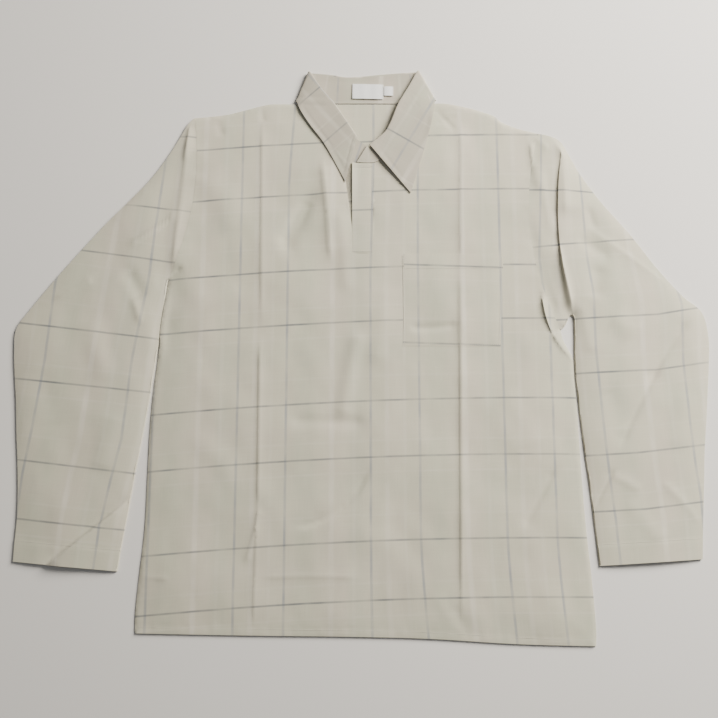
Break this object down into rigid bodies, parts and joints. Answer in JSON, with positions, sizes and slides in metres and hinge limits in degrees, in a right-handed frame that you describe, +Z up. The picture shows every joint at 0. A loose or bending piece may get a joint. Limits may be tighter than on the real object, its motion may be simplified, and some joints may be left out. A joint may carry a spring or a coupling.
{
  "type": "long-sleeve shirt",
  "caption": "Collared popover shirt with long sleeves, a hidden half placket and a patch pocket, laid flat on its back with the front up.",
  "frame": {"origin": "on the surface that the shirt lies on, under the middle of its outline", "axes": "+X towards the wearer's left, across the shirt, +Y from the hem towards the collar, +Z up out of the front"},
  "size_m": [0.952, 0.7957, 0.009],
  "materials": {
    "shirting": "fine plain-woven cotton in warm light grey with a thin blue-grey windowpane check, soft and matt",
    "collar_cloth": "the same checked cotton over an interlining, so a little firmer and smoother",
    "woven_tab": "bare white satin-woven tape"
  },
  "bodies": {
    "root": {"back": "shirting", "front": "shirting", "pocket": "shirting", "under_placket": "shirting", "placket": "shirting", "sleeve_left": "shirting", "sleeve_right": "shirting", "collar_stand": "collar_cloth", "collar_leaf": "collar_cloth", "label": "woven_tab", "size_label": "woven_tab"}
  },
  "joints": []
}
